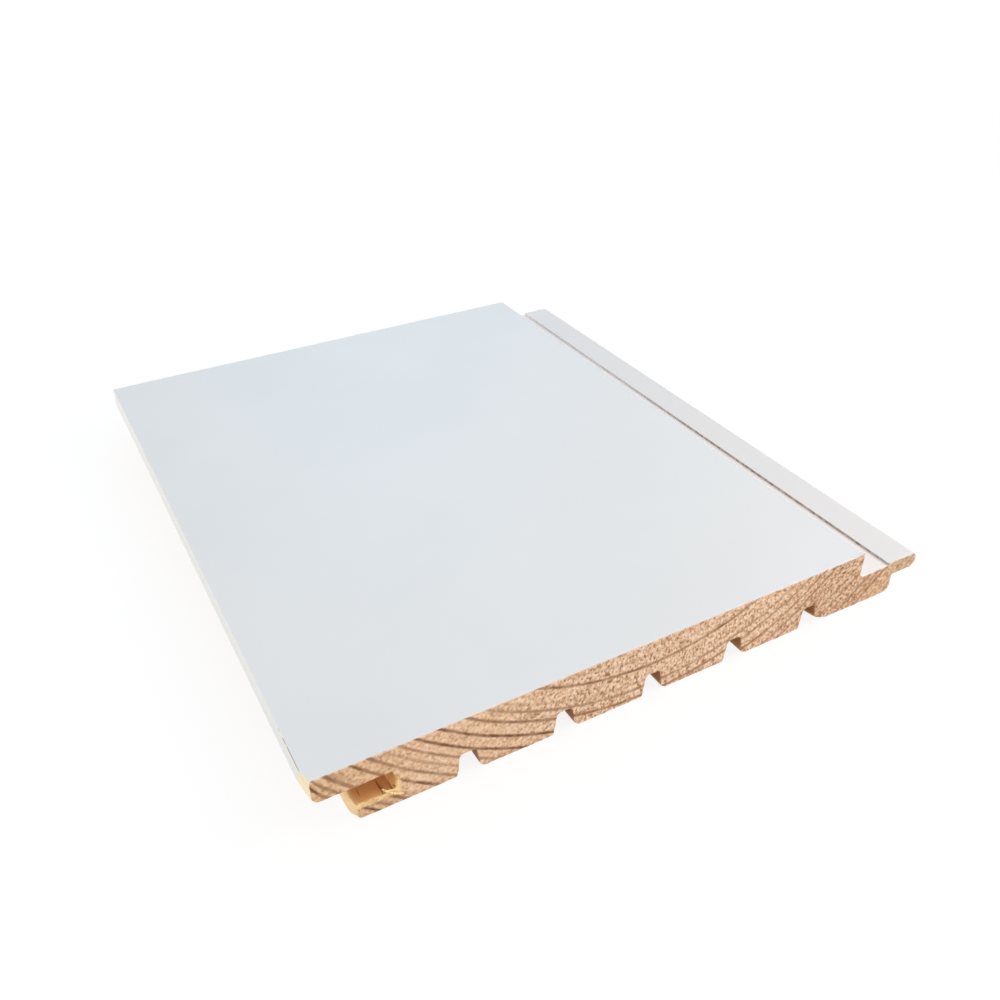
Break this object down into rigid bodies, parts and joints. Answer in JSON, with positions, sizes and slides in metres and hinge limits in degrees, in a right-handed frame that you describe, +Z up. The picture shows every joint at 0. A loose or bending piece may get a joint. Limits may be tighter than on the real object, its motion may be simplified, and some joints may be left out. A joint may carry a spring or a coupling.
{
  "type": "tongue and groove board",
  "caption": "Short length of planed softwood board with a tongue on one edge, a groove on the other, a recess for a shadow gap, relief grooves in the back and a white painted face.",
  "frame": {"origin": "middle of the back, in the plane of its ribs: the bottom centre of the board's box", "axes": "+X across the board from the groove edge to the tongue edge, +Y along the grain, +Z up out of the painted face"},
  "size_m": [0.1974, 0.221, 0.0195],
  "materials": {
    "painted_softwood": "white satin paint on the face, recess and tongue; bare planed back and groove; bare sawn ends"
  },
  "bodies": {
    "root": {"tongue_and_groove_board": "painted_softwood"}
  },
  "joints": []
}
